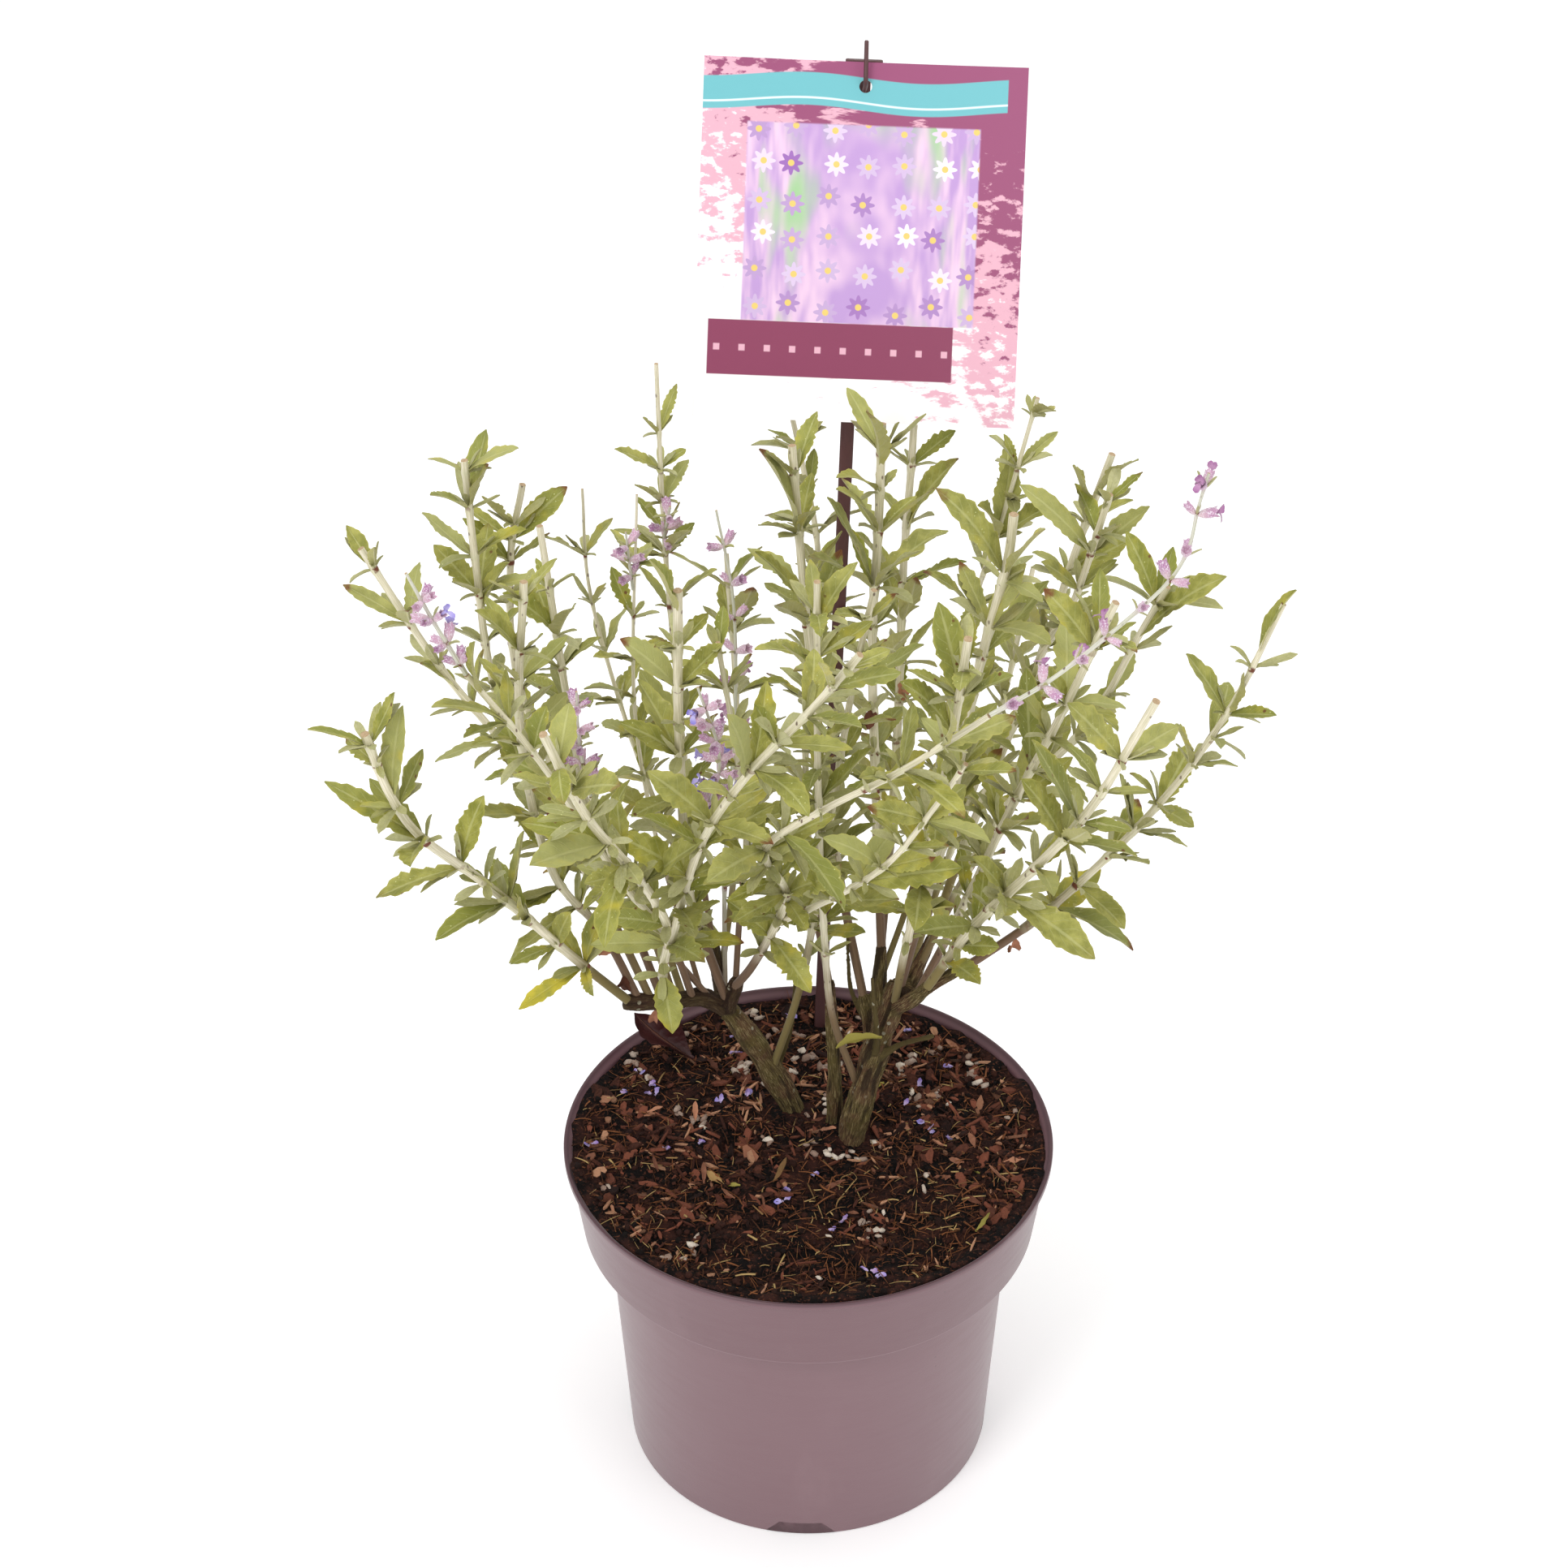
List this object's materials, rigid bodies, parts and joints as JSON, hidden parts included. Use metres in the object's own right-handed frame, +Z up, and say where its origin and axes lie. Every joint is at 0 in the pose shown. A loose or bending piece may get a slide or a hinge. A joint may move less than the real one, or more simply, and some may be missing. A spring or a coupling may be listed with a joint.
{
  "type": "potted russian sage plant",
  "caption": "Bushy flowering perennial with toothed grey-green leaves, woody base and lilac sprays, in a tapered plastic nursery pot with a blank picture label on a stake.",
  "frame": {"origin": "on the pot's axis, on the ground, in the middle of the pad under the pot", "axes": "+Z up; -Y is the front, which the label faces; +X to the viewer's right"},
  "size_m": [0.3422, 0.2975, 0.5193],
  "materials": {
    "pot": "satin moulded dusky mauve plastic, darker inside",
    "soil": "moist crumbly peat, coir and bark",
    "wood": "dull fissured bark",
    "stake": "satin dark brown plastic",
    "card": "smooth printed plastic sheet",
    "dry_leaf": "dry and brittle, slightly glossy",
    "leaf": "matt, finely hairy",
    "flower": "woolly calyces and soft petals"
  },
  "bodies": {
    "root": {"pot": "pot", "soil": "soil", "woody_base": "wood", "label_stake": "stake", "label_card": "card", "dry_leaf": "dry_leaf", "leafy_stem_low_left": "leaf", "leafy_stem_far_left": "leaf", "leafy_stem_left_front": "leaf", "leafy_stem_front_left": "leaf", "leafy_stem_front_middle": "leaf", "leafy_stem_low_right": "leaf", "leafy_stem_far_right": "leaf", "leafy_stem_right_front": "leaf", "leafy_stem_right_middle": "leaf", "leafy_stem_right_back": "leaf", "leafy_stem_tall_right": "leaf", "leafy_stem_upright_right": "leaf", "leafy_stem_upright_front": "leaf", "leafy_stem_back_middle": "leaf", "leafy_stem_back_right": "leaf", "leafy_stem_back_left": "leaf", "leafy_stem_behind_stake": "leaf", "leafy_stem_short_middle": "leaf", "leafy_stem_middle": "leaf", "leafy_stem_tall_left": "leaf", "leafy_stem_upright_left": "leaf", "leafy_stem_thin_left": "leaf", "leafy_stem_left_centre": "leaf", "leafy_stem_left_hanging": "leaf", "leafy_stem_left_middle": "leaf", "leafy_stem_left_back": "leaf", "leafy_stem_left_inner": "leaf", "leafy_stem_left_outer": "leaf", "leafy_stem_left_rear": "leaf", "leafy_stem_rear_left": "leaf", "leafy_stem_rear_right": "leaf", "right_spray": "flower", "left_spray": "flower", "slender_spray": "flower", "centre_spray": "flower", "woolly_spray": "flower", "inner_spray": "flower", "thin_spray": "flower"}
  },
  "joints": []
}
